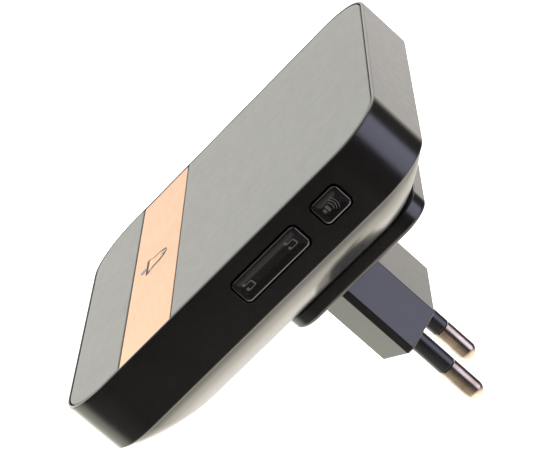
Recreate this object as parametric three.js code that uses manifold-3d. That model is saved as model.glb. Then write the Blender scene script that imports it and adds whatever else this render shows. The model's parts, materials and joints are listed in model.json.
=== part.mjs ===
// Plug-in wireless doorbell chime receiver.
// Millimetres, +Z up, +X towards the key side, +Y towards the wall socket.
// The origin is the centre of the plug's engagement face, where the two pins leave it.

import * as THREE from 'three';
import { mergeVertices } from 'three/addons/utils/BufferGeometryUtils.js';
import Module from 'manifold-3d';

const wasm = await Module();
wasm.setup();

// Mains plug
const PIN_SPACING = 18;
const PIN_R = 2;
const PIN_CORE_R = 1.5;
const PIN_OUT = 19;
const PIN_TAIL_Y = -24.6;
const SLEEVE_OUT = 10;
const SLEEVE_ROOT_Y = -3;
const PLUG_HALF_W = 17.65;
const PLUG_FLAT_HALF_W = 10.65;
const PLUG_HALF_H = 6.85;
const PLUG_EDGE_HALF_H = 0.75;
const PLUG_LENGTH = 18;

// Base plate that carries the plug
const BASE_W = 42;
const BASE_H = 34;
const BASE_R = 6;
const BASE_Z = 5.5;
const BASE_THICK = 3.4;

// Housing
const BODY_W = 81;
const BODY_H = 80;
const BODY_R = 11;
const BODY_Z = -6.5;
const BACK_Y = -PLUG_LENGTH - BASE_THICK;
const SHELL_DEPTH = 9.6;
const SPLIT_Y = BACK_Y - SHELL_DEPTH;
const FRAME_DEPTH = 12;
const FRONT_Y = SPLIT_Y - FRAME_DEPTH;
const FRAME_WALL = 2.2;
const FRAME_LIP = 0.6;
const SHELL_WALL = 2;
const SHELL_RIM_INSET = 0.5;
const SHELL_SIDE_RUN = 21;
const SHELL_END_RUN = 14;
const SHELL_SIDE_POWER = 1.35;
const SHELL_END_POWER = 1.04;
const SHELL_CORNER_GROWTH = -6;

// Front cover and its strip
const COVER_THICK = 2;
const COVER_Y = FRONT_Y + COVER_THICK;
const COVER_INSET = FRAME_LIP + 0.3;
const STRIP_Z = BODY_Z - 18.3;
const STRIP_H = 14;
const STRIP_THICK = 0.7;
const STRIP_RECESS = 0.1;
const STRIP_GAP = 0.2;

// Keys on the +X wall
const KEY_Y = FRONT_Y + 5.7;
const KEY_W = 4.7;
const KEY_R = 1;
const KEY_FACE_X = BODY_W / 2 + 0.3;
const KEY_GAP = 0.3;
const KEY_STEM_X = 36.45;
const KEY_FLANGE_X = 36.9;
const KEY_FLANGE_OVERLAP = 0.6;
const VOLUME_Z = BODY_Z + 23.2;
const VOLUME_L = 6.1;
const MELODY_Z = BODY_Z + 8.2;
const MELODY_L = 15.7;
const MELODY_ARM = 5;

// Key board and its three switches
const KEY_BOARD_X = 32.4;
const KEY_BOARD_THICK = 1.2;
const SWITCH_X = KEY_BOARD_X + KEY_BOARD_THICK;
const SWITCH_DEPTH = 2;
const SWITCH_SIZE = 4;
const PLUNGER_R = 0.9;
const PLUNGER_X = 36.4;
const PLUNGER_L = 1.45;

// Loudspeaker behind the rear grille
const SPEAKER_Z = -20;
const SPEAKER_R = 9.9;
const GRILLE_Z = -27.4;
const GRILLE_HALF_L = 22.1;
const GRILLE_TAPER = 0.04;
const GRILLE_LONGEST = 0.5;
const GRILLE_PITCH = 4.9;
const GRILLE_SLOT_W = 1.8;
const GRILLE_SLOTS = 4;

// Screws: two join the housing near its lower end, two hold the base plate from inside
const SCREW_X = 20;
const SCREW_Z = BODY_Z - 31.5;
const BOSS_RIB_W = 1.6;
const BOSS_RIB_L = 7;
const SCREW_SEAT_Y = -29.6;
const SCREW_HEAD_R = 2.4;
const SCREW_HOLE_R = 1.35;
const BOSS_R = 3.4;
const PLUG_SCREW_X = 13.5;
const PLUG_SCREW_Z = 14;

// Main board
const BOARD_THICK = 1.6;
const BOARD_FACE_Y = COVER_Y + BOARD_THICK;

const ARC_STEPS = 6;
const SHELL_ARC_STEPS = 4;
const ROUND_STEPS = 28;
const CUT = 1;

const finish = (color, roughness, metalness = 0) =>
  new THREE.MeshStandardMaterial({ color, roughness, metalness });

const MATERIAL = {
  cover: finish(0xa5a8a0, 0.5),
  strip: finish(0xe0b58f, 0.35, 0.9),
  black: finish(0x1c1a17, 0.4),
  key: finish(0x1a1917, 0.45),
  sleeve: finish(0x151517, 0.35),
  pin: finish(0xb8a790, 0.25, 1),
  steel: finish(0x9a9a9c, 0.35, 1),
  board: finish(0x2f5b3a, 0.6),
  dark: finish(0x242424, 0.6),
  magnet: finish(0x4a4a4d, 0.5, 0.8),
  paper: finish(0x2b2926, 0.9),
  copper: finish(0xb87348, 0.35, 1),
  foam: finish(0x303030, 0.95),
  tape: finish(0xd8b545, 0.6),
  can: finish(0x33425e, 0.45),
  live: finish(0x7a4a2a, 0.6),
  neutral: finish(0x3a5f9a, 0.6),
  red: finish(0xa03028, 0.6),
};

const group = new THREE.Group();

// ---- solids ----

function signedVolume(positions, triangles) {
  const [a, b, c] = [new THREE.Vector3(), new THREE.Vector3(), new THREE.Vector3()];
  let volume = 0;
  for (let i = 0; i < triangles.length; i += 3) {
    a.fromArray(positions, triangles[i] * 3);
    b.fromArray(positions, triangles[i + 1] * 3);
    c.fromArray(positions, triangles[i + 2] * 3);
    volume += a.dot(b.cross(c)) / 6;
  }
  return volume;
}

// A geometry's closed surface as a solid, with merged vertices, no flat triangles and faces out.
function solid(geometry) {
  const bare = new THREE.BufferGeometry();
  bare.setAttribute('position', geometry.getAttribute('position').clone());
  if (geometry.index) bare.setIndex(geometry.index.clone());
  const merged = mergeVertices(bare, 1e-4);
  const positions = merged.getAttribute('position').array;
  const triangles = [];
  for (let i = 0; i < merged.index.count; i += 3) {
    const [a, b, c] = [0, 1, 2].map((k) => merged.index.getX(i + k));
    if (a !== b && b !== c && c !== a) triangles.push(a, b, c);
  }
  if (signedVolume(positions, triangles) < 0) triangles.reverse();
  return new wasm.Manifold(new wasm.Mesh({
    numProp: 3,
    vertProperties: new Float32Array(positions),
    triVerts: new Uint32Array(triangles),
  }));
}

function add(name, body, material) {
  const { vertProperties, triVerts } = body.getMesh();
  const geometry = new THREE.BufferGeometry();
  geometry.setAttribute('position', new THREE.Float32BufferAttribute(vertProperties, 3));
  geometry.setIndex([...triVerts]);
  geometry.computeVertexNormals();
  const mesh = new THREE.Mesh(geometry, material);
  mesh.name = name;
  group.add(mesh);
}

// Outline of a rectangle with round corners, centred at (u, v).
function roundedRect(width, height, radius, u = 0, v = 0) {
  const [x, y] = [width / 2 - radius, height / 2 - radius];
  const shape = new THREE.Shape();
  shape.absarc(u + x, v + y, radius, 0, Math.PI / 2);
  shape.absarc(u - x, v + y, radius, Math.PI / 2, Math.PI);
  shape.absarc(u - x, v - y, radius, Math.PI, Math.PI * 1.5);
  shape.absarc(u + x, v - y, radius, Math.PI * 1.5, Math.PI * 2);
  return shape;
}

// An outline in X and Z, extruded along Y.
function prismY(shape, fromY, toY, steps = ARC_STEPS) {
  const geometry = new THREE.ExtrudeGeometry(shape, {
    depth: toY - fromY, bevelEnabled: false, curveSegments: steps,
  });
  geometry.rotateX(Math.PI / 2);
  geometry.translate(0, toY, 0);
  return solid(geometry);
}

// An outline in Y and Z, extruded along X.
function prismX(shape, fromX, toX, steps = ARC_STEPS) {
  const geometry = new THREE.ExtrudeGeometry(shape, {
    depth: toX - fromX, bevelEnabled: false, curveSegments: steps,
  });
  geometry.applyMatrix4(new THREE.Matrix4().makeBasis(
    new THREE.Vector3(0, 1, 0), new THREE.Vector3(0, 0, 1), new THREE.Vector3(1, 0, 0),
  ));
  geometry.translate(fromX, 0, 0);
  return solid(geometry);
}

// A box between two Y levels, centred at (x, z).
function boxY(x, z, width, height, fromY, toY) {
  const geometry = new THREE.BoxGeometry(width, toY - fromY, height);
  geometry.translate(x, (fromY + toY) / 2, z);
  return solid(geometry);
}

// A solid turned about a line along Y through (x, z); the profile is pairs of radius and Y.
function turnedY(profile, x = 0, z = 0, steps = ROUND_STEPS) {
  const points = profile.map(([r, y]) => new THREE.Vector2(r, y));
  const geometry = new THREE.LatheGeometry(points, steps);
  geometry.translate(x, 0, z);
  return solid(geometry);
}

const rodY = (x, z, radius, fromY, toY, steps = ROUND_STEPS) =>
  turnedY([[0, fromY], [radius, fromY], [radius, toY], [0, toY]], x, z, steps);

// A rod along X through (y, z).
function rodX(y, z, radius, fromX, toX, steps = ROUND_STEPS) {
  const geometry = new THREE.CylinderGeometry(radius, radius, toX - fromX, steps);
  geometry.rotateZ(-Math.PI / 2);
  geometry.translate((fromX + toX) / 2, y, z);
  return solid(geometry);
}

// A round wire through a few points.
function wire(radius, points, steps) {
  const circle = new THREE.Shape().absarc(0, 0, radius, 0, Math.PI * 2);
  const path = new THREE.CatmullRomCurve3(points.map((p) => new THREE.Vector3(...p)));
  return solid(new THREE.ExtrudeGeometry(circle, { extrudePath: path, steps, curveSegments: 4 }));
}

// A surface through stacked outlines of equal point count, closed by a fan at each end.
function loft(outlines) {
  const count = outlines[0].length;
  const positions = outlines.flat().flatMap((p) => p.toArray());
  const triangles = [];
  for (let level = 0; level + 1 < outlines.length; level++) {
    for (let i = 0; i < count; i++) {
      const [a, b] = [level * count + i, level * count + ((i + 1) % count)];
      triangles.push(a, b, a + count, b, b + count, a + count);
    }
  }
  const top = (outlines.length - 1) * count;
  for (let i = 1; i + 1 < count; i++) {
    triangles.push(0, i + 1, i, top, top + i, top + i + 1);
  }
  const geometry = new THREE.BufferGeometry();
  geometry.setAttribute('position', new THREE.Float32BufferAttribute(positions, 3));
  geometry.setIndex(triangles);
  return solid(geometry);
}

// ---- front ----

function frontCover() {
  const [width, height] = [BODY_W - 2 * COVER_INSET, BODY_H - 2 * COVER_INSET];
  const plate = prismY(roundedRect(width, height, BODY_R - COVER_INSET, 0, BODY_Z), FRONT_Y, COVER_Y);
  const channel = boxY(0, STRIP_Z, BODY_W, STRIP_H, FRONT_Y - CUT, FRONT_Y + STRIP_RECESS + STRIP_THICK);
  return plate.subtract(channel);
}

function copperStrip() {
  const fromY = FRONT_Y + STRIP_RECESS;
  const width = BODY_W - 2 * COVER_INSET;
  return boxY(0, STRIP_Z, width, STRIP_H - 2 * STRIP_GAP, fromY, fromY + STRIP_THICK);
}

// ---- frame ----

const SIDES = [['left', -1], ['right', 1]];

function keyHole(z, length) {
  const shape = roundedRect(KEY_W + 2 * KEY_GAP, length + 2 * KEY_GAP, KEY_R + KEY_GAP, KEY_Y, z);
  return prismX(shape, BODY_W / 2 - FRAME_WALL - CUT, BODY_W / 2 + CUT, 4);
}

function frame() {
  const ring = (inset, fromY, toY) => prismY(
    roundedRect(BODY_W - 2 * inset, BODY_H - 2 * inset, BODY_R - inset, 0, BODY_Z), fromY, toY,
  );
  let body = ring(0, FRONT_Y, SPLIT_Y)
    .subtract(ring(FRAME_WALL, FRONT_Y - CUT, SPLIT_Y + CUT))
    .subtract(ring(FRAME_LIP, FRONT_Y - CUT, COVER_Y));
  for (const [, side] of SIDES) {
    const x = side * SCREW_X;
    body = body.add(rodY(x, SCREW_Z, BOSS_R, COVER_Y + CUT, SPLIT_Y, 20));
    body = body.add(boxY(x, SCREW_Z - BOSS_RIB_L / 2, BOSS_RIB_W, BOSS_RIB_L, COVER_Y + CUT, SPLIT_Y));
    body = body.subtract(rodY(x, SCREW_Z, SCREW_HOLE_R, SPLIT_Y - 8.5, SPLIT_Y + CUT, 16));
  }
  return body
    .subtract(keyHole(VOLUME_Z, VOLUME_L))
    .subtract(keyHole(MELODY_Z, MELODY_L));
}

// ---- rear shell ----

// The shell's outline at a share of its depth: its sides curve far in and its ends slope nearly straight.
function shellOutline(share, wall) {
  const side = 1 - (1 - share ** SHELL_SIDE_POWER) ** (1 / SHELL_SIDE_POWER);
  const end = 1 - (1 - share ** SHELL_END_POWER) ** (1 / SHELL_END_POWER);
  const inset = SHELL_RIM_INSET + wall;
  const width = BODY_W - 2 * (inset + SHELL_SIDE_RUN * side);
  const height = BODY_H - 2 * (inset + SHELL_END_RUN * end);
  const radius = BODY_R - inset + SHELL_CORNER_GROWTH * share;
  const y = SPLIT_Y + share * (SHELL_DEPTH - wall);
  const outline = roundedRect(width, height, radius, 0, BODY_Z).getPoints(SHELL_ARC_STEPS);
  return outline.slice(0, -1).map((p) => new THREE.Vector3(p.x, y, p.y));
}

function shellLoft(wall) {
  const shares = [0, 0.2, 0.4, 0.6, 0.78, 0.92, 1];
  return loft(shares.map((share) => shellOutline(share, wall)));
}

function grilleSlot(index) {
  const offset = (index - GRILLE_LONGEST) * GRILLE_PITCH;
  const length = 2 * (GRILLE_HALF_L - GRILLE_TAPER * offset ** 2);
  const shape = roundedRect(length, GRILLE_SLOT_W, GRILLE_SLOT_W / 2 - 0.01, 0, GRILLE_Z + offset);
  return prismY(shape, BACK_Y - SHELL_WALL - CUT, BACK_Y + CUT, 4);
}

function rearShell() {
  const outer = shellLoft(0);
  let shell = outer.subtract(shellLoft(SHELL_WALL));
  for (const [, side] of SIDES) {
    const x = side * SCREW_X;
    const boss = rodY(x, SCREW_Z, BOSS_R + 0.6, SPLIT_Y, BACK_Y, 20).intersect(outer);
    shell = shell.add(boss);
    shell = shell.subtract(rodY(x, SCREW_Z, SCREW_HEAD_R + 0.3, SCREW_SEAT_Y, BACK_Y, 20));
    shell = shell.subtract(rodY(x, SCREW_Z, SCREW_HOLE_R, SPLIT_Y - CUT, BACK_Y, 16));
  }
  for (let i = 0; i < GRILLE_SLOTS; i++) shell = shell.subtract(grilleSlot(i));
  const window = roundedRect(PIN_SPACING + 8, 7, 3);
  shell = shell.subtract(prismY(window, BACK_Y - SHELL_WALL - CUT, BACK_Y + CUT, 4));
  for (const [, side] of SIDES) {
    const hole = rodY(side * PLUG_SCREW_X, PLUG_SCREW_Z, SCREW_HOLE_R, BACK_Y - 4, BACK_Y + CUT, 16);
    shell = shell.subtract(hole);
  }
  return shell;
}

// ---- plug ----

function plugOutline() {
  const shape = new THREE.Shape();
  shape.moveTo(PLUG_HALF_W, PLUG_EDGE_HALF_H);
  shape.lineTo(PLUG_FLAT_HALF_W, PLUG_HALF_H);
  shape.lineTo(-PLUG_FLAT_HALF_W, PLUG_HALF_H);
  shape.lineTo(-PLUG_HALF_W, PLUG_EDGE_HALF_H);
  shape.lineTo(-PLUG_HALF_W, -PLUG_EDGE_HALF_H);
  shape.lineTo(-PLUG_FLAT_HALF_W, -PLUG_HALF_H);
  shape.lineTo(PLUG_FLAT_HALF_W, -PLUG_HALF_H);
  shape.lineTo(PLUG_HALF_W, -PLUG_EDGE_HALF_H);
  shape.closePath();
  return shape;
}

function plugBase() {
  let body = prismY(roundedRect(BASE_W, BASE_H, BASE_R, 0, BASE_Z), BACK_Y, BACK_Y + BASE_THICK);
  body = body.add(prismY(plugOutline(), BACK_Y + CUT, 0));
  for (const [, side] of SIDES) {
    const x = side * PIN_SPACING / 2;
    body = body.subtract(rodY(x, 0, PIN_CORE_R + 0.05, BACK_Y - CUT, CUT));
    body = body.subtract(rodY(x, 0, PIN_R + 0.05, SLEEVE_ROOT_Y - 0.05, CUT));
    const screw = rodY(side * PLUG_SCREW_X, PLUG_SCREW_Z, 1.15, BACK_Y - CUT, BACK_Y + 2.7, 16);
    body = body.subtract(screw);
  }
  return body;
}

function pin(x) {
  const tip = [];
  for (let i = 0; i <= 6; i++) {
    const angle = (i / 6) * Math.PI / 2;
    tip.push([PIN_R * Math.cos(angle), PIN_OUT - PIN_R + PIN_R * Math.sin(angle)]);
  }
  tip[tip.length - 1][0] = 0;
  const profile = [[0, PIN_TAIL_Y], [PIN_CORE_R, PIN_TAIL_Y], [PIN_CORE_R, SLEEVE_OUT], [PIN_R, SLEEVE_OUT]];
  return turnedY([...profile, ...tip], x, 0, 24);
}

function sleeve(x) {
  const inner = PIN_CORE_R + 0.04;
  const outer = PIN_R - 0.02;
  const profile = [[inner, SLEEVE_ROOT_Y], [outer, SLEEVE_ROOT_Y], [outer, SLEEVE_OUT], [inner, SLEEVE_OUT]];
  return turnedY([...profile, profile[0]], x, 0, 24);
}

// ---- keys ----

function keyCap(z, length) {
  const flangeFront = KEY_FLANGE_X + 1;
  const cap = roundedRect(KEY_W, length, KEY_R, KEY_Y, z);
  const grow = 2 * KEY_FLANGE_OVERLAP;
  const flange = roundedRect(KEY_W + grow, length + grow, KEY_R, KEY_Y, z);
  return prismX(cap, flangeFront - 0.5, KEY_FACE_X, 5).add(prismX(flange, KEY_FLANGE_X, flangeFront, 5));
}

const keyStem = (z) => rodX(KEY_Y, z, 1.2, KEY_STEM_X, KEY_FLANGE_X + 0.5, 16);

function keyBoard() {
  const [low, high] = [MELODY_Z - MELODY_L / 2 - 0.5, VOLUME_Z + VOLUME_L / 2 + 2];
  const shape = roundedRect(7.4, high - low, 0.5, COVER_Y + 3.7, (low + high) / 2);
  return prismX(shape, KEY_BOARD_X, SWITCH_X, 2);
}

function switchBody(z) {
  const body = prismX(roundedRect(SWITCH_SIZE, SWITCH_SIZE, 0.4, KEY_Y, z), SWITCH_X, SWITCH_X + SWITCH_DEPTH, 2);
  const pocket = rodX(KEY_Y, z, PLUNGER_R + 0.08, SWITCH_X + 0.7, SWITCH_X + SWITCH_DEPTH + CUT, 16);
  return body.subtract(pocket);
}

const plunger = (z) => rodX(KEY_Y, z, PLUNGER_R, PLUNGER_X - PLUNGER_L, PLUNGER_X, 16);

// ---- loudspeaker ----

const speakerPart = (profile) => turnedY([...profile, profile[0]], 0, SPEAKER_Z);

const speakerGasket = () => speakerPart([[8.7, -24], [SPEAKER_R, -24], [SPEAKER_R, -23.4], [8.7, -23.4]]);

const speakerBasket = () => speakerPart([
  [8.5, -24], [8.5, -24.8], [5, -31], [2.6, -31], [2.6, -33], [5.8, -33], [5.8, -31.6], [8.8, -25.2],
  [SPEAKER_R, -25.2], [SPEAKER_R, -24],
]);

const speakerMagnet = () => turnedY(
  [[0, -37.5], [6.1, -37.5], [6.1, -33], [2.1, -33], [2.1, -30.4], [0, -30.4]], 0, SPEAKER_Z,
);

// The cone's paper with its dust cap, in one thin turned sheet.
const speakerCone = () => turnedY([
  [0, -26.6], [1.3, -26.9], [2.8, -28.2], [7.5, -25], [7.5, -25.5], [3, -29.1], [1.1, -27.5], [0, -27.2],
], 0, SPEAKER_Z);

const speakerSurround = () => speakerPart([[7, -25], [7.9, -25], [7.8, -24.4], [7.5, -24.2], [7.1, -24.4]]);

// ---- screws ----

function screw(x, z, seatY, headR, headDepth, shankR, shankLength, towards) {
  const place = (y) => seatY + towards * y;
  const profile = [
    [0, place(headDepth)], [headR * 0.8, place(headDepth)], [headR, place(headDepth * 0.6)],
    [headR, seatY], [shankR, seatY], [shankR, place(-shankLength)], [0, place(-shankLength - shankR)],
  ];
  const drive = [place(headDepth * 0.5), place(headDepth + CUT)].sort((a, b) => a - b);
  return turnedY(profile, x, z, 20)
    .subtract(boxY(x, z, headR * 1.2, 0.6, ...drive))
    .subtract(boxY(x, z, 0.6, headR * 1.2, ...drive));
}

// ---- electronics ----

const mainBoard = () => prismY(roundedRect(56, 36, 1, -1, 12), COVER_Y, BOARD_FACE_Y, 2);

function transformer() {
  const core = boxY(-19, 19, 15, 14, BOARD_FACE_Y + 2, BOARD_FACE_Y + 11);
  const bobbin = boxY(-19, 19, 11, 16, BOARD_FACE_Y, BOARD_FACE_Y + 9.5);
  return core.add(bobbin);
}

const capacitor = (x, z, radius, height) => turnedY([
  [0, BOARD_FACE_Y], [radius, BOARD_FACE_Y], [radius, BOARD_FACE_Y + height - 0.4],
  [radius - 0.4, BOARD_FACE_Y + height], [0, BOARD_FACE_Y + height],
], x, z, 24);

const fuse = () => rodX(BOARD_FACE_Y + 2, 3, 1.8, -26, -17, 20);

const part = (x, z, width, height, depth) => boxY(x, z, width, height, BOARD_FACE_Y, BOARD_FACE_Y + depth);

const antenna = () => wire(0.4, [
  [24.5, BOARD_FACE_Y + 0.1, 13], [24.5, BOARD_FACE_Y + 4, 13], [24.5, BOARD_FACE_Y + 6, 15],
  [24.5, BOARD_FACE_Y + 6, 22], [24.5, BOARD_FACE_Y + 6, 29],
], 14);

const mainsLead = (side) => wire(0.7, [
  [side * PIN_SPACING / 2, PIN_TAIL_Y - 0.1, 0], [side * PIN_SPACING / 2, PIN_TAIL_Y - 3, 0.4],
  [side * 6 - 3, PIN_TAIL_Y - 9, 2], [side * 5 - 3, BOARD_FACE_Y + 2, 3], [side * 5 - 3, BOARD_FACE_Y + 0.1, 3],
], 12);

const speakerLead = (x) => wire(0.45, [
  [x, -33.2, SPEAKER_Z + 7.5], [x, -36, SPEAKER_Z + 12], [x + 2, BOARD_FACE_Y + 2, -3], [x + 2, BOARD_FACE_Y + 0.1, -2],
], 10);

// ---- assembly ----

add('front_cover', frontCover(), MATERIAL.cover);
add('copper_strip', copperStrip(), MATERIAL.strip);
add('frame', frame(), MATERIAL.black);
add('rear_shell', rearShell(), MATERIAL.black);
add('plug_base', plugBase(), MATERIAL.black);
for (const [name, side] of SIDES) {
  add(`pin_${name}`, pin(side * PIN_SPACING / 2), MATERIAL.pin);
  add(`pin_sleeve_${name}`, sleeve(side * PIN_SPACING / 2), MATERIAL.sleeve);
}

add('volume_key', keyCap(VOLUME_Z, VOLUME_L).add(keyStem(VOLUME_Z)), MATERIAL.key);
const rocker = keyCap(MELODY_Z, MELODY_L)
  .add(keyStem(MELODY_Z + MELODY_ARM))
  .add(keyStem(MELODY_Z - MELODY_ARM));
add('melody_rocker', rocker, MATERIAL.key);
add('key_board', keyBoard(), MATERIAL.board);
const switchPlaces = {
  volume: VOLUME_Z,
  next: MELODY_Z + MELODY_ARM,
  previous: MELODY_Z - MELODY_ARM,
};
for (const [name, z] of Object.entries(switchPlaces)) {
  add(`switch_${name}`, switchBody(z), MATERIAL.dark);
  add(`plunger_${name}`, plunger(z), MATERIAL.steel);
}

add('speaker_gasket', speakerGasket(), MATERIAL.foam);
add('speaker_basket', speakerBasket(), MATERIAL.dark);
add('speaker_magnet', speakerMagnet(), MATERIAL.magnet);
add('speaker_cone', speakerCone(), MATERIAL.paper);
add('speaker_surround', speakerSurround(), MATERIAL.foam);

for (const [name, side] of SIDES) {
  const housing = screw(side * SCREW_X, SCREW_Z, SCREW_SEAT_Y, SCREW_HEAD_R, 1.5, 1.2, 7.5, 1);
  add(`housing_screw_${name}`, housing, MATERIAL.steel);
  const body = screw(side * PLUG_SCREW_X, PLUG_SCREW_Z, BACK_Y - SHELL_WALL, 2.2, 1.4, 1, 3.2, -1);
  add(`plug_screw_${name}`, body, MATERIAL.steel);
}

add('main_board', mainBoard(), MATERIAL.board);
add('transformer', transformer(), MATERIAL.tape);
add('capacitor_mains', capacitor(-5, 22, 4, 10), MATERIAL.can);
add('capacitor_output', capacitor(5, 23, 3.2, 8.5), MATERIAL.can);
add('fuse', fuse(), MATERIAL.copper);
add('rectifier', part(-8, 12, 6, 3, 4.5), MATERIAL.dark);
add('chime_chip', part(10, 7, 7, 5, 1.4), MATERIAL.dark);
add('radio_module', part(16, 20, 11, 10, 2.4), MATERIAL.steel);
add('antenna', antenna(), MATERIAL.copper);
add('mains_lead_left', mainsLead(-1), MATERIAL.neutral);
add('mains_lead_right', mainsLead(1), MATERIAL.live);
add('speaker_lead_left', speakerLead(-3), MATERIAL.dark);
add('speaker_lead_right', speakerLead(3), MATERIAL.red);

export default group;
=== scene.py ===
import json
import math

import bmesh
import bpy
from mathutils import Matrix, Quaternion, Vector


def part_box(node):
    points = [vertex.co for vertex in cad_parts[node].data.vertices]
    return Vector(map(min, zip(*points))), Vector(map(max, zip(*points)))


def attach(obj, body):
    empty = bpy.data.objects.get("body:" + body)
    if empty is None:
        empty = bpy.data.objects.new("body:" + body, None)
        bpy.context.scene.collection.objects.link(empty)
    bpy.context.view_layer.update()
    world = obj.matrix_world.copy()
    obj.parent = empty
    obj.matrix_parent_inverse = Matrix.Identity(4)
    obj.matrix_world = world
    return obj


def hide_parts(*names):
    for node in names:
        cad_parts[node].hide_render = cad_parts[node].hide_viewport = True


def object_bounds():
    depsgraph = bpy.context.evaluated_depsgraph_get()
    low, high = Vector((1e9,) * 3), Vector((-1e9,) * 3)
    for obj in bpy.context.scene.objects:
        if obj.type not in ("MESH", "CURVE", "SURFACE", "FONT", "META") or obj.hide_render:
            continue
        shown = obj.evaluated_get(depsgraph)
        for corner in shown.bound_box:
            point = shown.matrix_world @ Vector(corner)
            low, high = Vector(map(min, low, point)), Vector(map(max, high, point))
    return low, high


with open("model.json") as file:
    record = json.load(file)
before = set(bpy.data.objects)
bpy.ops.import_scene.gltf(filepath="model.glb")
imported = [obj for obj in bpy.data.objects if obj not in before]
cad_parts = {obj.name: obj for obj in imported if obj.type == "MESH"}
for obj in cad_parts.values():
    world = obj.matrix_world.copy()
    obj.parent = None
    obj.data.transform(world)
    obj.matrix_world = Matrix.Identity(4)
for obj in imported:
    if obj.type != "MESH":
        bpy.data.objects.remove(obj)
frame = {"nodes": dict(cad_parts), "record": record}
CAD_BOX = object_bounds()

MM = 0.001
SHARP_TURN = math.radians(32)
GRAIN_SCALE = 2600
GRAIN_DEPTH = 0.04 * MM
BRUSH_SCALE = 5200
BRUSH_DEPTH = 0.02 * MM

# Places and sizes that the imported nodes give.
FRAME_LO, FRAME_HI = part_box("frame")
SHELL_LO, SHELL_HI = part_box("rear_shell")
COVER_LO, COVER_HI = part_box("front_cover")
STRIP_LO, STRIP_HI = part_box("copper_strip")
BASE_LO, BASE_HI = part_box("plug_base")
VOLUME_LO, VOLUME_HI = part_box("volume_key")
ROCKER_LO, ROCKER_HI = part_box("melody_rocker")
SLEEVE_LO, SLEEVE_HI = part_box("pin_sleeve_right")
PIN_LO, PIN_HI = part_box("pin_right")
SCREW_LO, SCREW_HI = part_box("housing_screw_right")

# Housing
BODY_HALF_W = FRAME_HI.x
BODY_HALF_H = (FRAME_HI.z - FRAME_LO.z) / 2
BODY_Z = (FRAME_HI.z + FRAME_LO.z) / 2
BODY_R = 11 * MM
FRAME_WALL = 2.2 * MM
FRAME_LIP = 0.6 * MM
FRAME_FRONT_R = 0.4 * MM
FRAME_BACK_R = 0.45 * MM
FRAME_LIP_R = 0.15 * MM
SHELL_WALL = 2 * MM
SHELL_SIDE_RUN = 21 * MM
SHELL_END_RUN = 14 * MM
SHELL_SIDE_POWER = 1.35
SHELL_END_POWER = 1.04
SHELL_CORNER_GROWTH = -6 * MM
SHELL_RIM_INSET = BODY_HALF_W - SHELL_HI.x
SHELL_LEVELS = 22
WINDOW_HALF_W = 13 * MM
WINDOW_HALF_H = 3.5 * MM
WINDOW_R = 3 * MM

# Plug
BASE_HALF_W = BASE_HI.x
BASE_HALF_H = (BASE_HI.z - BASE_LO.z) / 2
BASE_Z = (BASE_HI.z + BASE_LO.z) / 2
BASE_R = 6 * MM
BASE_THICK = 3.4 * MM
BASE_FOOT_R = 0.4 * MM
BASE_FACE_R = 0.9 * MM
PLUG_HALF_W = 17.65 * MM
PLUG_FLAT_HALF_W = 10.65 * MM
PLUG_HALF_H = 6.85 * MM
PLUG_EDGE_HALF_H = 0.75 * MM
PLUG_EDGE_R = 0.35 * MM
PLUG_RIDGE_R = 0.5 * MM
PLUG_END_R = 0.45 * MM
PIN_X = (PIN_LO.x + PIN_HI.x) / 2
PIN_R = (PIN_HI.x - PIN_LO.x) / 2
PIN_CORE_R = 1.5 * MM
SLEEVE_STEP = 0.02 * MM
SLEEVE_END_R = 0.2 * MM
PIN_HOLE_R = 2.12 * MM

# Keys
KEY_FLANGE = 0.6 * MM
KEY_GAP = 0.3 * MM
KEY_R = 1 * MM
KEY_Y = (VOLUME_LO.y + VOLUME_HI.y) / 2
KEY_HALF_W = (VOLUME_HI.y - VOLUME_LO.y) / 2 - KEY_FLANGE
KEY_FACE_X = VOLUME_HI.x
KEY_FLANGE_X = 37.9 * MM
KEY_BACK_X = 36.9 * MM
KEY_EDGE_R = 0.35 * MM
MARK_LINE = 0.16 * MM
MARK_BOLD = 0.3 * MM
MARK_DEPTH = 0.05 * MM
MARK_SINK = 0.045 * MM

# Cover and strip
COVER_EDGE_R = 0.3 * MM
CHANNEL_GAP = 0.2 * MM
STRIP_Z = (STRIP_LO.z + STRIP_HI.z) / 2
STRIP_HALF_H = (STRIP_HI.z - STRIP_LO.z) / 2
STRIP_JOINT = 0.2 * MM
STRIP_CORNER_R = 0.3 * MM
STRIP_EDGE_R = 0.12 * MM

# Rear grille and screw wells
GRILLE_Z = -27.4 * MM
GRILLE_HALF_L = 22.1 * MM
GRILLE_TAPER = 0.04 / MM
GRILLE_LONGEST = 0.5
GRILLE_PITCH = 4.9 * MM
GRILLE_HALF_SLOT = 0.9 * MM
GRILLE_SLOTS = 4
SCREW_X = (SCREW_LO.x + SCREW_HI.x) / 2
SCREW_Z = (SCREW_LO.z + SCREW_HI.z) / 2
SCREW_SEAT_Y = -29.6 * MM
SCREW_POST_R = 4 * MM
SCREW_WELL_R = 2.7 * MM
SCREW_HOLE_R = 1.35 * MM

# Camera: angles in degrees, lens in millimetres, places in metres
CAMERA_AZIMUTH = 75.89
CAMERA_ELEVATION = 16.25
CAMERA_ROLL = 45.09
CAMERA_TARGET = Vector((1.4, -35.3, -9.8)) * MM
CAMERA_DISTANCE = 0.4136
CAMERA_LENS = 142.4
CAMERA_SHIFT_X = 0.0666
CAMERA_SHIFT_Y = 0.0169


# ---------------------------------------------------------------- outlines

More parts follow.
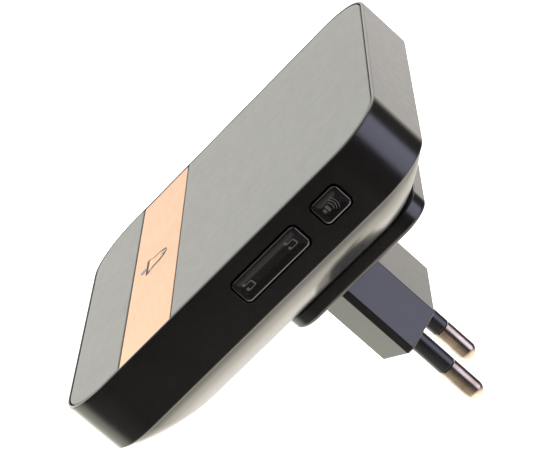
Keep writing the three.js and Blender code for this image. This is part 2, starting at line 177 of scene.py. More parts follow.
def filleted(corners, steps=6, closed=True):
    """A polyline through (u, v, radius) corners, each rounded off with an arc."""
    points = []
    count = len(corners)
    for i, (u, v, radius) in enumerate(corners):
        here = Vector((u, v))
        at_end = not closed and i in (0, count - 1)
        if radius <= 0 or at_end:
            points.append((u, v))
            continue
        before = (Vector(corners[i - 1][:2]) - here).normalized()
        after = (Vector(corners[(i + 1) % count][:2]) - here).normalized()
        half = before.angle(after) / 2
        centre = here + (before + after).normalized() * (radius / math.sin(half))
        start = here + before * (radius / math.tan(half)) - centre
        turn = start.angle_signed(here + after * (radius / math.tan(half)) - centre)
        for k in range(steps + 1):
            arm = start.copy()
            arm.rotate(Matrix.Rotation(-turn * k / steps, 2))
            points.append(tuple(centre + arm))
    return points


def rounded_rect(half_u, half_v, radius, u=0.0, v=0.0, steps=12):
    """A rectangle's outline with round corners; the point count depends on steps only."""
    points = []
    for quarter, (su, sv) in enumerate([(1, 1), (-1, 1), (-1, -1), (1, -1)]):
        for k in range(steps + 1):
            angle = (quarter + k / steps) * math.pi / 2
            points.append((u + su * (half_u - radius) + radius * math.cos(angle),
                           v + sv * (half_v - radius) + radius * math.sin(angle)))
    return points


def inset_polygon(corners, distance):
    """A convex anticlockwise polygon with every edge moved inwards."""
    moved = []
    count = len(corners)
    for i in range(count):
        here = Vector(corners[i])
        before = (here - Vector(corners[i - 1])).normalized()
        after = (Vector(corners[(i + 1) % count]) - here).normalized()
        normal_a = Vector((-before.y, before.x))
        normal_b = Vector((-after.y, after.x))
        share = distance / (1 + normal_a.dot(normal_b))
        moved.append(tuple(here + (normal_a + normal_b) * share))
    return moved


def at_y(outline, y):
    return [Vector((u, y, v)) for u, v in outline]


def at_x(outline, x):
    return [Vector((x, u, v)) for u, v in outline]


# ---------------------------------------------------------------- meshes

def new_object(name, bm):
    bmesh.ops.recalc_face_normals(bm, faces=bm.faces)
    mesh = bpy.data.meshes.new(name)
    bm.to_mesh(mesh)
    bm.free()
    piece = bpy.data.objects.new(name, mesh)
    bpy.context.scene.collection.objects.link(piece)
    return piece


def skin(name, rings, looped=False):
    """Quads between successive rings of equal point count, capped or looped into a tube."""
    bm = bmesh.new()
    rows = [[bm.verts.new(p) for p in ring] for ring in rings]
    pairs = list(zip(rows, rows[1:] + ([rows[0]] if looped else [])))
    for low, high in pairs:
        for i in range(len(low)):
            j = (i + 1) % len(low)
            bm.faces.new((low[i], low[j], high[j], high[i]))
    if not looped:
        bm.faces.new(list(reversed(rows[0])))
        bm.faces.new(rows[-1])
    return new_object(name, bm)


def key_span(low, high):
    """The middle and the half length of a key's cap, from its CAD box."""
    return (low.z + high.z) / 2, (high.z - low.z) / 2 - KEY_FLANGE


def lathe_y(name, profile, x=0.0, z=0.0, steps=64):
    """A closed solid turned about a line along Y; the profile is (radius, y) pairs."""
    bm = bmesh.new()
    rings = []
    for radius, y in profile:
        if radius < 1e-7:
            rings.append([bm.verts.new((x, y, z))])
            continue
        rings.append([bm.verts.new((x + radius * math.cos(a), y, z + radius * math.sin(a)))
                      for a in (k * 2 * math.pi / steps for k in range(steps))])
    for low, high in zip(rings, rings[1:]):
        for i in range(steps):
            j = (i + 1) % steps
            face = [low[i % len(low)], low[j % len(low)], high[j % len(high)], high[i % len(high)]]
            bm.faces.new(list(dict.fromkeys(face)))
    if len(rings[0]) > 1 and len(rings[-1]) > 1:
        for i in range(steps):
            j = (i + 1) % steps
            bm.faces.new((rings[-1][i], rings[-1][j], rings[0][j], rings[0][i]))
    return new_object(name, bm)


def cut(piece, cutters):
    """Takes the cutters out of the piece and deletes them."""
    for cutter in cutters:
        modifier = piece.modifiers.new("cut", "BOOLEAN")
        modifier.operation = "DIFFERENCE"
        modifier.solver = "EXACT"
        modifier.object = cutter
    depsgraph = bpy.context.evaluated_depsgraph_get()
    mesh = bpy.data.meshes.new_from_object(piece.evaluated_get(depsgraph))
    piece.modifiers.clear()
    old = piece.data
    piece.data = mesh
    bpy.data.meshes.remove(old)
    for cutter in cutters:
        mesh = cutter.data
        bpy.data.objects.remove(cutter)
        bpy.data.meshes.remove(mesh)


def smooth(piece):
    """Smooth faces with sharp edges kept where the surface turns by more than SHARP_TURN."""
    bm = bmesh.new()
    bm.from_mesh(piece.data)
    for face in bm.faces:
        face.smooth = True
    for edge in bm.edges:
        edge.smooth = edge.is_manifold and edge.calc_face_angle(0) < SHARP_TURN
    bm.to_mesh(piece.data)
    bm.free()
    weighted = piece.modifiers.new("weighted", "WEIGHTED_NORMAL")
    weighted.keep_sharp = True


def settle(piece, body, slot, *nodes):
    """Finishes a piece: shading, material, the body that it rides on and the nodes it stands for."""
    smooth(piece)
    piece.data.materials.clear()
    piece.data.materials.append(material(slot))
    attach(piece, body)
    if nodes:
        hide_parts(*nodes)
    return piece


# ---------------------------------------------------------------- materials

class Nodes:
    """A short way to build one material's node tree."""

    def __init__(self, name):
        self.material = bpy.data.materials.new(name)
        self.material.use_nodes = True
        self.tree = self.material.node_tree
        self.shader = self.tree.nodes["Principled BSDF"]
        self.place = self.add("ShaderNodeTexCoord").outputs["Object"]

    def add(self, kind, **settings):
        node = self.tree.nodes.new(kind)
        for key, value in settings.items():
            setattr(node, key, value)
        return node

    def link(self, source, target):
        self.tree.links.new(source, target)

    def noise(self, scale, detail=3.0, stretch=(1, 1, 1)):
        mapping = self.add("ShaderNodeMapping")
        mapping.inputs["Scale"].default_value = stretch
        self.link(self.place, mapping.inputs["Vector"])
        node = self.add("ShaderNodeTexNoise")
        node.inputs["Scale"].default_value = scale
        node.inputs["Detail"].default_value = detail
        self.link(mapping.outputs["Vector"], node.inputs["Vector"])
        return node.outputs["Fac"]

    def ramp(self, source, stops):
        node = self.add("ShaderNodeValToRGB")
        elements = node.color_ramp.elements
        while len(elements) < len(stops):
            elements.new(0.5)
        for element, (place, colour) in zip(elements, stops):
            element.position = place
            element.color = (*colour, 1)
        self.link(source, node.inputs["Fac"])
        return node.outputs["Color"]

    def spread(self, source, low, high):
        node = self.add("ShaderNodeMapRange")
        node.inputs["To Min"].default_value = low
        node.inputs["To Max"].default_value = high
        self.link(source, node.inputs["Value"])
        return node.outputs["Result"]

    def bump(self, source, strength, depth):
        node = self.add("ShaderNodeBump")
        node.inputs["Strength"].default_value = strength
        node.inputs["Distance"].default_value = depth
        self.link(source, node.inputs["Height"])
        below = self.shader.inputs["Normal"].links
        if below:
            self.link(below[0].from_socket, node.inputs["Normal"])
        self.link(node.outputs["Normal"], self.shader.inputs["Normal"])

    def set(self, **values):
        for key, value in values.items():
            self.shader.inputs[key.replace("_", " ")].default_value = value


def grained_plastic(name, dark, light, roughness, strength=0.35, gloss=0.5):
    """Moulded plastic: a fine spark-eroded grain, faint mottling and uneven gloss."""
    nodes = Nodes(name)
    mottle = nodes.noise(90, 4)
    nodes.link(nodes.ramp(mottle, [(0.3, dark), (0.7, light)]), nodes.shader.inputs["Base Color"])
    nodes.link(nodes.spread(nodes.noise(420, 4), *roughness), nodes.shader.inputs["Roughness"])
    nodes.bump(nodes.noise(GRAIN_SCALE, 2), strength, GRAIN_DEPTH)
    nodes.set(Specular_IOR_Level=gloss)
    return nodes


def cover_plastic(name):
    """Grained grey-green plastic with fine dark specks."""
    nodes = grained_plastic(name, (0.132, 0.134, 0.117), (0.142, 0.144, 0.126), (0.44, 0.56))
    specks = nodes.noise(2400, 1)
    mix = nodes.add("ShaderNodeMix", data_type="RGBA", blend_type="MULTIPLY")
    mix.inputs["Factor"].default_value = 1
    base = nodes.shader.inputs["Base Color"].links[0].from_socket
    nodes.link(base, mix.inputs["A"])
    nodes.link(nodes.ramp(specks, [(0.26, (0.8, 0.8, 0.78)), (0.34, (1, 1, 1))]), mix.inputs["B"])
    nodes.link(mix.outputs["Result"], nodes.shader.inputs["Base Color"])
    return nodes


def brushed(name, dark, light, roughness, stretch):
    """Metal brushed along one direction."""
    nodes = Nodes(name)
    lines = nodes.noise(BRUSH_SCALE, 3, stretch)
    broad = nodes.noise(60, 2)
    colour = nodes.ramp(lines, [(0.25, dark), (0.75, light)])
    nodes.link(colour, nodes.shader.inputs["Base Color"])
    nodes.link(nodes.spread(broad, *roughness), nodes.shader.inputs["Roughness"])
    nodes.bump(lines, 0.25, BRUSH_DEPTH)
    nodes.set(Metallic=1.0)
    return nodes


def worn_metal(name, dark, light, roughness):
    """Plated metal with faint lengthwise rubbing marks."""
    nodes = Nodes(name)
    marks = nodes.noise(3000, 4, (1, 0.04, 1))
    stain = nodes.noise(260, 5)
    nodes.link(nodes.ramp(stain, [(0.35, dark), (0.65, light)]), nodes.shader.inputs["Base Color"])
    nodes.link(nodes.spread(marks, *roughness), nodes.shader.inputs["Roughness"])
    nodes.bump(marks, 0.15, 0.01 * MM)
    nodes.set(Metallic=1.0)
    return nodes


def woven(name, dark, light):
    """Pressed paper or foam: soft fibres and no gloss."""
    nodes = Nodes(name)
    fibre = nodes.noise(1800, 6, (1, 1, 0.4))
    nodes.link(nodes.ramp(fibre, [(0.3, dark), (0.7, light)]), nodes.shader.inputs["Base Color"])
    nodes.bump(fibre, 0.6, 0.08 * MM)
    nodes.set(Roughness=0.92)
    return nodes


def laminate(name):
    """Green solder mask over faint copper tracks."""
    nodes = Nodes(name)
    tracks = nodes.add("ShaderNodeTexBrick")
    tracks.inputs["Scale"].default_value = 180
    tracks.inputs["Color1"].default_value = (0.02, 0.1, 0.04, 1)
    tracks.inputs["Color2"].default_value = (0.03, 0.13, 0.05, 1)
    tracks.inputs["Mortar"].default_value = (0.05, 0.2, 0.08, 1)
    nodes.link(nodes.place, tracks.inputs["Vector"])
    nodes.link(tracks.outputs["Color"], nodes.shader.inputs["Base Color"])
    nodes.link(nodes.spread(nodes.noise(300), 0.3, 0.5), nodes.shader.inputs["Roughness"])
    return nodes


# Each material slot's recipe: darkest and lightest colour, range of roughness, then what sets it apart.
RECIPES = {
    "cover_plastic": cover_plastic,
    "copper_strip": lambda n: brushed(
        n, (0.43, 0.235, 0.12), (0.53, 0.315, 0.17), (0.3, 0.42), (0.03, 1, 1)),
    "black_plastic": lambda n: grained_plastic(
        n, (0.006, 0.0055, 0.005), (0.009, 0.0083, 0.0075), (0.17, 0.25), strength=0.15),
    "key_plastic": lambda n: grained_plastic(
        n, (0.006, 0.0057, 0.0055), (0.009, 0.0085, 0.008), (0.1, 0.15), strength=0.06, gloss=0.9),
    "sleeve_plastic": lambda n: grained_plastic(
        n, (0.006, 0.006, 0.008), (0.011, 0.011, 0.014), (0.22, 0.36)),
    "pin_metal": lambda n: worn_metal(n, (0.28, 0.22, 0.17), (0.5, 0.42, 0.35), (0.16, 0.36)),
    "screw_steel": lambda n: worn_metal(n, (0.2, 0.2, 0.21), (0.3, 0.3, 0.31), (0.32, 0.5)),
    "board_laminate": laminate,
    "dark_plastic": lambda n: grained_plastic(n, (0.02, 0.02, 0.02), (0.035, 0.035, 0.035), (0.5, 0.7)),
    "magnet_ferrite": lambda n: worn_metal(n, (0.12, 0.12, 0.13), (0.22, 0.22, 0.24), (0.35, 0.55)),
    "paper_cone": lambda n: woven(n, (0.012, 0.011, 0.01), (0.04, 0.036, 0.03)),
    "foam_ring": lambda n: woven(n, (0.02, 0.02, 0.02), (0.05, 0.05, 0.05)),
    "winding_tape": lambda n: grained_plastic(n, (0.55, 0.38, 0.07), (0.68, 0.48, 0.12), (0.25, 0.4)),
    "can_sleeve": lambda n: grained_plastic(n, (0.03, 0.05, 0.12), (0.05, 0.08, 0.18), (0.2, 0.35)),
    "copper_wire": lambda n: worn_metal(n, (0.6, 0.3, 0.18), (0.8, 0.45, 0.3), (0.2, 0.4)),
    "lead_brown": lambda n: grained_plastic(n, (0.1, 0.04, 0.02), (0.15, 0.06, 0.03), (0.4, 0.6)),
    "lead_blue": lambda n: grained_plastic(n, (0.02, 0.06, 0.25), (0.03, 0.09, 0.35), (0.4, 0.6)),
    "lead_red": lambda n: grained_plastic(n, (0.3, 0.02, 0.015), (0.4, 0.03, 0.02), (0.4, 0.6)),
    "mark_dark": lambda n: grained_plastic(
        n, (0.05, 0.035, 0.025), (0.08, 0.055, 0.04), (0.6, 0.7), gloss=0.1),
    # Painted shade: the near-black colour of the gap along both edges of the strip.
    "joint_shadow": lambda n: grained_plastic(
        n, (0.02, 0.014, 0.01), (0.03, 0.022, 0.015), (0.7, 0.8), gloss=0.1),
    "mark_grey": lambda n: grained_plastic(
        n, (0.17, 0.2, 0.22), (0.22, 0.26, 0.28), (0.5, 0.6), gloss=0.2),
    "key_mark": lambda n: grained_plastic(n, (0.05, 0.05, 0.05), (0.08, 0.08, 0.08), (0.22, 0.34)),
}
made_materials = {}


def material(name):
    if name not in made_materials:
        made_materials[name] = RECIPES[name](name).material
    return made_materials[name]


def paint_cad_nodes():
    """Every carried-over CAD node gets its slot's procedural material."""
    slots = {entry["node"]: entry["material_slot"] for entry in frame["record"]["subparts"]}
    for name, node in frame["nodes"].items():
        node.data.materials.clear()
        node.data.materials.append(material(slots[name]))


# ---------------------------------------------------------------- housing

def body_outline(inset):
    return rounded_rect(BODY_HALF_W - inset, BODY_HALF_H - inset, BODY_R - inset, 0, BODY_Z)


def key_cutter(z, half_length):
    """A round-cornered hole through the wall whose mouth flares a little at the outer face."""
    flare = [(-3.5, 0), (-0.3, 0), (-0.12, 0.04), (-0.02, 0.14), (0.05, 0.22), (1, 0.22)]
    rings = []
    for depth, grow in flare:
        gap = KEY_GAP + grow * MM
        outline = rounded_rect(KEY_HALF_W + gap, half_length + gap, KEY_R + gap, KEY_Y, z, 8)
        rings.append(at_x(outline, BODY_HALF_W + depth * MM))
    return skin("key_cutter", rings)


def make_frame():
    """The black ring round the case, with a front lip and the two key holes."""
    front, back, ledge = FRAME_LO.y, FRAME_HI.y, COVER_HI.y
    section = filleted([
        (0, front, FRAME_FRONT_R), (FRAME_LIP, front, FRAME_LIP_R), (FRAME_LIP, ledge, 0),
        (FRAME_WALL, ledge, 0), (FRAME_WALL, back, 0), (0, back, FRAME_BACK_R),
    ])
    rings = [at_y(body_outline(inset), y) for inset, y in section]
    piece = skin("frame_ring", rings, looped=True)
    cut(piece, [
        key_cutter(*key_span(VOLUME_LO, VOLUME_HI)),
        key_cutter(*key_span(ROCKER_LO, ROCKER_HI)),
    ])
    settle(piece, "housing", "black_plastic", "frame")


def channel_cutter():
    """The strip's channel, from side to side of the cover, a little wider at its mouth."""
    reach = COVER_HI.x * 1.1
    half = STRIP_HALF_H + CHANNEL_GAP
    corners = [(-reach, STRIP_Z - half), (reach, STRIP_Z - half),
               (reach, STRIP_Z + half), (-reach, STRIP_Z + half)]
    levels = [(COVER_LO.y - 1 * MM, 0.1), (COVER_LO.y, 0.1), (COVER_LO.y + 0.12 * MM, 0), (STRIP_HI.y, 0)]
    rings = [[Vector((u, y, v + math.copysign(grow * MM, v - STRIP_Z))) for u, v in corners]
             for y, grow in levels]
    return skin("channel_cutter", rings)


def make_cover():
    """The grey plate: crisp round-over at its rim and a channel for the strip."""
    half_w, half_h = COVER_HI.x, (COVER_HI.z - COVER_LO.z) / 2
    radius = BODY_R - (BODY_HALF_W - half_w)
    edge = filleted([(0.0, COVER_HI.y, 0), (0.0, COVER_LO.y, COVER_EDGE_R), (2 * MM, COVER_LO.y, 0)],
                    6, False)
    rings = [at_y(rounded_rect(half_w - i, half_h - i, radius - i, 0, BODY_Z, 14), y) for i, y in edge]
    piece = skin("cover_plate", rings)
    cut(piece, [channel_cutter()])
    settle(piece, "housing", "cover_plastic", "front_cover")


def strip_outline(inset, joint):
    half_w = STRIP_HI.x - inset
    return rounded_rect(half_w, STRIP_HALF_H - joint - inset, STRIP_CORNER_R, 0, STRIP_Z, 3)


def make_strip():
    """The brushed band, on a near-black sheet that paints the shade of the thin joint along both its
    edges.
    """
    edge = filleted([(0.0, STRIP_HI.y, 0), (0.0, STRIP_LO.y, STRIP_EDGE_R), (1 * MM, STRIP_LO.y, 0)],
                    4, False)
    band = skin("strip_band", [at_y(strip_outline(inset, STRIP_JOINT), y) for inset, y in edge])
    settle(band, "housing", "copper_strip", "copper_strip")
    # Painted shade: a near-black sheet under the band stands in for the shade in the channel's gap along
    # both edges.
    levels = (STRIP_HI.y, STRIP_LO.y + STRIP_EDGE_R)
    painted_shade_sheet = skin("strip_painted_joint_shade", [at_y(strip_outline(0, 0), y) for y in levels])
    settle(painted_shade_sheet, "housing", "joint_shadow")


def shell_ring(share, wall):
    """The shell's outline at a share of its depth; the sides and the ends slope in on their own curves."""
    side, end = (1 - (1 - share ** power) ** (1 / power) for power in (SHELL_SIDE_POWER, SHELL_END_POWER))
    half_w = BODY_HALF_W - SHELL_RIM_INSET - wall - SHELL_SIDE_RUN * side
    half_h = BODY_HALF_H - SHELL_RIM_INSET - wall - SHELL_END_RUN * end
    radius = BODY_R - SHELL_RIM_INSET - wall + SHELL_CORNER_GROWTH * share
    y = SHELL_LO.y + share * (SHELL_HI.y - SHELL_LO.y - wall)
    return at_y(rounded_rect(half_w, half_h, radius, 0, BODY_Z, 14), y)


def slot_cutter(index):
    """One grille slot with a small flare at its mouth."""
    offset = (index - GRILLE_LONGEST) * GRILLE_PITCH
    half = GRILLE_HALF_L - GRILLE_TAPER * offset ** 2
    levels = [(-2.6, 0), (-0.35, 0), (-0.1, 0.08), (0.02, 0.25), (1, 0.5)]
    rings = []
    for depth, grow in levels:
        radius = GRILLE_HALF_SLOT + grow * MM
        outline = rounded_rect(half + grow * MM, radius, radius * 0.98, 0, GRILLE_Z + offset, 6)
        rings.append(at_y(outline, SHELL_HI.y + depth * MM))
    return skin("slot_cutter", rings)


def screw_rod(radius, low, high, x):
    """A plain rod along a housing screw's line, between two levels."""
    return lathe_y("screw_cutter", [(0, low), (radius, low), (radius, high), (0, high)], x, SCREW_Z, 48)


def make_shell():
    """The domed back, hollowed round two screw posts, with its grille, screw wells and plug window."""
    shares = [math.sin(k / SHELL_LEVELS * math.pi / 2) for k in range(SHELL_LEVELS + 1)]
    piece = skin("shell_back", [shell_ring(share, 0) for share in shares])
    below = [point - Vector((0, 1 * MM, 0)) for point in shell_ring(0, SHELL_WALL)]
    hollow = skin("hollow_cutter", [below] + [shell_ring(share, SHELL_WALL) for share in shares])
    sides = (-SCREW_X, SCREW_X)
    cut(hollow, [screw_rod(SCREW_POST_R, SHELL_LO.y - 2 * MM, SHELL_HI.y, x) for x in sides])
    window = rounded_rect(WINDOW_HALF_W, WINDOW_HALF_H, WINDOW_R, steps=6)
    window_cutter = skin("window_cutter", [at_y(window, SHELL_HI.y + d * MM) for d in (-3, 1)])
    wells = [screw_rod(SCREW_WELL_R, SCREW_SEAT_Y, SHELL_HI.y + 1 * MM, x) for x in sides]
    holes = [screw_rod(SCREW_HOLE_R, SHELL_LO.y - 1 * MM, SCREW_SEAT_Y + 1 * MM, x) for x in sides]
    slots = [slot_cutter(i) for i in range(GRILLE_SLOTS)]
    cut(piece, [hollow, window_cutter] + wells + holes + slots)
    settle(piece, "housing", "black_plastic", "rear_shell")


# ---------------------------------------------------------------- plug

def plug_corners():
    """The plug body's eight corners in section, anticlockwise."""
    quarter = [(PLUG_HALF_W, PLUG_EDGE_HALF_H), (PLUG_FLAT_HALF_W, PLUG_HALF_H)]
    half = quarter + [(-u, v) for u, v in reversed(quarter)]
    return half + [(-u, -v) for u, v in half]


def make_base_plate(seat):
    foot = BASE_LO.y
    edge = filleted([(3 * MM, foot, 0), (0, foot, BASE_FOOT_R), (0, seat, BASE_FACE_R), (3 * MM, seat, 0)],
                    8, False)
    rings = [at_y(rounded_rect(BASE_HALF_W - inset, BASE_HALF_H - inset, BASE_R - inset, 0, BASE_Z, 14), y)
             for inset, y in edge]
    settle(skin("plug_plate", rings), "housing", "black_plastic", "plug_base")


def pin_hole_cutter(x):
    """A hole round a pin's root, flared at the engagement face."""
    profile = [(0, -4 * MM), (PIN_HOLE_R, -4 * MM), (PIN_HOLE_R, -0.3 * MM),
               (2.35 * MM, 0.1 * MM), (2.6 * MM, 1 * MM), (0, 1 * MM)]
    return lathe_y("pin_cutter", profile, x)


def make_plug_body(seat):
    """The eight-sided body from the base plate to the engagement face at y = 0."""
    end = filleted([(0.0, seat - 1 * MM, 0), (0.0, 0.0, PLUG_END_R), (0.5 * MM, 0.0, 0)], 6, False)
    rings = []
    for inset, y in end:
        corners = [(u, v, PLUG_EDGE_R if abs(v) < 1 * MM else PLUG_RIDGE_R)
                   for u, v in inset_polygon(plug_corners(), inset)]
        rings.append(at_y(filleted(corners, 5), y))
    body = skin("plug_body", rings)
    cut(body, [pin_hole_cutter(side * PIN_X) for side in (-1, 1)])
    settle(body, "housing", "black_plastic", "plug_base")


def make_plug():
    seat = BASE_LO.y + BASE_THICK
    make_base_plate(seat)
    make_plug_body(seat)


def pin_profile():
    """A pin's core inside its sleeve, then the bare length with a round end."""
    bare = SLEEVE_HI.y
    tip = [(PIN_R * math.cos(a), PIN_HI.y - PIN_R + PIN_R * math.sin(a))
           for a in (k / 14 * math.pi / 2 for k in range(15))]
    tip[-1] = (0, PIN_HI.y)
    return [(0, PIN_LO.y), (PIN_CORE_R, PIN_LO.y), (PIN_CORE_R, bare + 0.05 * MM),
            (PIN_R - 0.2 * MM, bare + 0.05 * MM), (PIN_R, bare + 0.22 * MM)] + tip


def sleeve_profile():
    """The sleeve as a tube round the core, rounded off where the bare pin begins."""
    outer, low, high = PIN_R - SLEEVE_STEP, SLEEVE_LO.y, SLEEVE_HI.y
    section = [(PIN_CORE_R, low, 0), (outer, low, 0), (outer, high, SLEEVE_END_R), (PIN_CORE_R, high, 0)]
    return filleted(section, 4)


def make_pins():
    for name, side in (("left", -1), ("right", 1)):
        x = side * PIN_X
        settle(lathe_y(f"pin_metal_{name}", pin_profile(), x), "housing", "pin_metal", f"pin_{name}")
        settle(lathe_y(f"sleeve_tube_{name}", sleeve_profile(), x),
               "housing", "sleeve_plastic", f"pin_sleeve_{name}")


# ---------------------------------------------------------------- keys and marks

def key_piece(name, z, half_length):
    """A key cap with a soft rim and a face that dips slightly, on its inner flange."""
    rim = filleted([(-KEY_FLANGE, KEY_BACK_X, 0), (-KEY_FLANGE, KEY_FLANGE_X, 0), (0.0, KEY_FLANGE_X, 0),
                    (0.0, KEY_FACE_X, KEY_EDGE_R), (0.9 * MM, KEY_FACE_X - 0.03 * MM, 0)], 6, False)
    rim += [(1.3 * MM, KEY_FACE_X - 0.06 * MM), (1.7 * MM, KEY_FACE_X - 0.08 * MM)]
    rings = []
    for inset, x in rim:
        radius = max(KEY_R - inset, 0.25 * MM)
        outline = rounded_rect(KEY_HALF_W - inset, half_length - inset, radius, KEY_Y, z, 8)
        rings.append(at_x(outline, x))
    return skin(name, rings)


def ribbon(name, path, width, x):
    """A flat raised line on a face that looks along +X; the path is (y, z) points."""
    bm = bmesh.new()
    last = len(path) - 1
    rows = []
    for i, (y, z) in enumerate(path):
        along = (Vector(path[min(i + 1, last)]) - Vector(path[max(i - 1, 0)])).normalized()
        out = Vector((-along.y, along.x)) * width / 2
        here = Vector((y, z))
        left, right = here + out, here - out
        low = x - MARK_DEPTH
        rows.append([bm.verts.new((low, left.x, left.y)), bm.verts.new((x, left.x, left.y)),
                     bm.verts.new((x, right.x, right.y)), bm.verts.new((low, right.x, right.y))])
    for low, high in zip(rows, rows[1:]):
        for k in range(4):
            bm.faces.new((low[k], low[(k + 1) % 4], high[(k + 1) % 4], high[k]))
    bm.faces.new(rows[0])
    bm.faces.new(list(reversed(rows[-1])))
    return new_object(name, bm)


def arc(y, z, radius, start, end, steps=14):
    """Points on an arc in the key's face; 0 degrees points up along +Z and 90 towards +Y."""
    angles = [math.radians(start + (end - start) * k / steps) for k in range(steps + 1)]
    return [(y + radius * math.sin(a), z + radius * math.cos(a)) for a in angles]


def key_marks(body, face, paths):
    """Raised marks on a key, each riding on the key's own body."""
    for index, (path, width) in enumerate(paths):
        piece = ribbon(f"{body}_mark_{index + 1}", path, width, face)
        settle(piece, body, "key_mark")


def note_paths(y, z):
    """Two joined quavers: two heads, two stems and a beam."""
    size = 1 * MM
    stem_left, stem_right = y - 0.55 * size, y + 0.55 * size
    low, high = z - 0.7 * size, z + 0.8 * size
    heads = [arc(stem - 0.25 * size, low, 0.17 * size, 0, 345) for stem in (stem_left, stem_right)]
    return [
        ([(stem_left, low), (stem_left, high)], MARK_LINE),
        ([(stem_right, low), (stem_right, high)], MARK_LINE),
        ([(stem_left, high), (stem_right, high + 0.15 * size)], MARK_BOLD),
    ] + [(head, MARK_BOLD) for head in heads]


def speaker_paths(y, z):
    """A small loudspeaker mark with three sound arcs above it."""
    body = [(y - 0.35 * MM, z - 1.5 * MM), (y + 0.35 * MM, z - 1.5 * MM)]
    horn = [(y - 0.6 * MM, z - 0.75 * MM), (y + 0.6 * MM, z - 0.75 * MM)]
    arcs = [(arc(y, z - 0.9 * MM, r * MM, -42, 42), MARK_LINE) for r in (1.1, 1.6, 2.1)]
    return [(body, 0.5 * MM), (horn, 0.55 * MM)] + arcs


def make_keys():
    """The volume key with its loudspeaker mark and the melody rocker with a note at each end."""
    face = KEY_FACE_X - MARK_SINK
    volume_z, half = key_span(VOLUME_LO, VOLUME_HI)
    settle(key_piece("volume_cap", volume_z, half), "volume_key", "key_plastic", "volume_key")
    key_marks("volume_key", face, speaker_paths(KEY_Y, volume_z))

    rocker_z, half = key_span(ROCKER_LO, ROCKER_HI)
    settle(key_piece("rocker_cap", rocker_z, half), "melody_rocker", "key_plastic", "melody_rocker")
    reach = half - 2.6 * MM
    paths = note_paths(KEY_Y, rocker_z + reach) + note_paths(KEY_Y, rocker_z - reach)
    key_marks("melody_rocker", face, paths)


def bell_outline(scale):
    """A generic bell, centred at the origin, in (x, z)."""
    points = [(-4.2, -3.2), (4.2, -3.2), (4.2, -2.4), (3.1, -1.4), (2.7, 1.4), (1.7, 3.0), (0.6, 3.5),
              (-0.6, 3.5), (-1.7, 3.0), (-2.7, 1.4), (-3.1, -1.4), (-4.2, -2.4)]
    corners = [(u * scale, v * scale, 0.3 * scale) for u, v in points]
    return filleted(corners, 4)


def make_bell_mark():
    """A bell drawn as a dark outline, with a grey crown and clapper, laid on the strip."""
    sunk = STRIP_LO.y + 0.02 * MM
    sheets = (("bell_line", 0.86, "mark_dark", 0.03), ("bell_fill", 0.64, "copper_strip", 0.05))
    for name, scale, slot, level in sheets:
        outline = [(u, v + STRIP_Z) for u, v in bell_outline(scale * MM)]
        piece = skin(name, [at_y(outline, sunk), at_y(outline, STRIP_LO.y - level * MM)])
        settle(piece, "housing", slot)
    top = STRIP_LO.y - 0.07 * MM
    for name, rise, radius in (("bell_crown", 2.2 * MM, 0.75 * MM), ("bell_clapper", -3.6 * MM, 0.8 * MM)):
        profile = [(0, sunk), (radius, sunk), (radius, top), (0, top)]
        disc = lathe_y(name, profile, 0, STRIP_Z + rise, 32)
        settle(disc, "housing", "mark_grey")


# ---------------------------------------------------------------- stage

def soft_light(name, place, target, size, power):
    """A round panel that lights the floor and the sides but leaves no reflection."""
    data = bpy.data.lights.new(name, "AREA")
    data.shape = "DISK"
    data.size = size
    data.energy = power
    light = bpy.data.objects.new(name, data)
    bpy.context.scene.collection.objects.link(light)
    light.location = place
    light.rotation_euler = (target - place).to_track_quat("-Z", "Y").to_euler()
    light.visible_glossy = False


def make_floor():
    """A pale sheet well below the part, wide enough to fill every view."""
    bm = bmesh.new()
    reach, drop = 12.0, 0.3
    corners = [(-reach, -reach), (reach, -reach), (reach, reach), (-reach, reach)]
    bm.faces.new([bm.verts.new((x, y, CAD_BOX[0].z - drop)) for x, y in corners])
    floor = new_object("floor", bm)
    nodes = Nodes("floor_paper")
    nodes.link(nodes.ramp(nodes.noise(3), [(0.3, (0.9, 0.9, 0.9)), (0.7, (0.93, 0.93, 0.93))]),
               nodes.shader.inputs["Base Color"])
    nodes.set(Roughness=0.9)
    floor.data.materials.append(nodes.material)
    floor.visible_glossy = False


LIGHT_LOBES = [
    # axis, dot product where it starts, dot product where it is full, colour
    ((-0.95, 0.0, -0.2), 0.60, 0.84, (1.25, 1.19, 1.12)),  # the side away from the keys
    ((0.2, 0.23, 0.95), 0.87, 0.96, (2.3, 2.35, 3.15)),  # overhead, cool
    ((0.1, 0.97, -0.2), 0.36, 0.92, (2.9, 2.7, 2.35)),  # the wall side, warm
    ((-0.5, 0.0, -0.87), 0.66, 0.9, (1.9, 1.9, 1.65)),  # below
    ((-0.3, -0.9, 0.25), 0.2, 0.9, (1.3, 1.3, 1.3)),  # in front of the cover
]


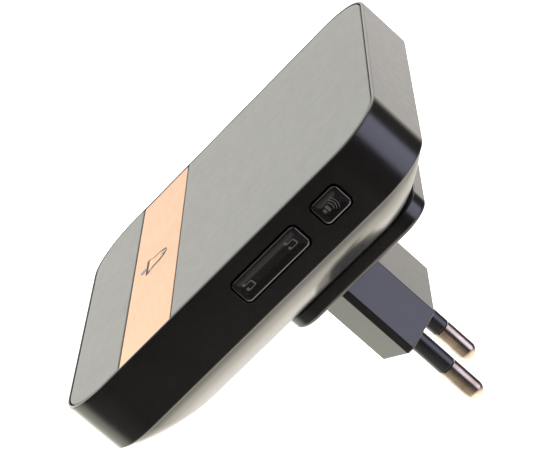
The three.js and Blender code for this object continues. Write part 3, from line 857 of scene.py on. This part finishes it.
def light_lobe(tree, direction, axis, start, full, colour):
    """One soft panel of the studio: a smooth patch of colour about an axis."""
    dot = tree.nodes.new("ShaderNodeVectorMath")
    dot.operation = "DOT_PRODUCT"
    dot.inputs[1].default_value = Vector(axis).normalized()
    tree.links.new(direction, dot.inputs[0])
    lobe = tree.nodes.new("ShaderNodeMapRange")
    lobe.interpolation_type = "SMOOTHSTEP"
    lobe.inputs["From Min"].default_value = start
    lobe.inputs["From Max"].default_value = full
    tree.links.new(dot.outputs["Value"], lobe.inputs["Value"])
    panel = tree.nodes.new("ShaderNodeVectorMath")
    panel.operation = "SCALE"
    panel.inputs[0].default_value = colour
    tree.links.new(lobe.outputs["Result"], panel.inputs["Scale"])
    return panel.outputs["Vector"]


def make_world():
    """A dark studio lit by broad soft panels."""
    world = bpy.data.worlds.new("studio")
    bpy.context.scene.world = world
    world.use_nodes = True
    tree = world.node_tree
    direction = tree.nodes.new("ShaderNodeTexCoord").outputs["Generated"]
    total, *others = [light_lobe(tree, direction, *lobe) for lobe in LIGHT_LOBES]
    for panel in others:
        both = tree.nodes.new("ShaderNodeVectorMath")
        both.operation = "ADD"
        tree.links.new(total, both.inputs[0])
        tree.links.new(panel, both.inputs[1])
        total = both.outputs["Vector"]
    tree.links.new(total, tree.nodes["Background"].inputs["Color"])


def make_camera():
    """The view on the key side from slightly in front and above, with the camera rolled."""
    azimuth, elevation = math.radians(CAMERA_AZIMUTH), math.radians(CAMERA_ELEVATION)
    back = Vector((math.sin(azimuth) * math.cos(elevation), -math.cos(azimuth) * math.cos(elevation),
                   math.sin(elevation)))
    data = bpy.data.cameras.new("camera")
    data.lens = CAMERA_LENS
    data.shift_x = CAMERA_SHIFT_X
    data.shift_y = CAMERA_SHIFT_Y
    data.clip_start = 0.01
    camera = bpy.data.objects.new("camera", data)
    bpy.context.scene.collection.objects.link(camera)
    camera.location = CAMERA_TARGET + back * CAMERA_DISTANCE
    roll = Quaternion((0, 0, 1), math.radians(CAMERA_ROLL))
    camera.rotation_mode = "QUATERNION"
    camera.rotation_quaternion = (-back).to_track_quat("-Z", "Y") @ roll
    bpy.context.scene.camera = camera


bpy.context.scene.view_settings.view_transform = "Standard"
make_camera()
paint_cad_nodes()
make_frame()
make_cover()
make_strip()
make_shell()
make_plug()
make_pins()
make_keys()
make_bell_mark()
make_floor()
soft_light("sky_panel", place=Vector((-1.2, 0, 1.6)), target=Vector((-1.2, 0, 0)), size=3.4, power=130)
make_world()
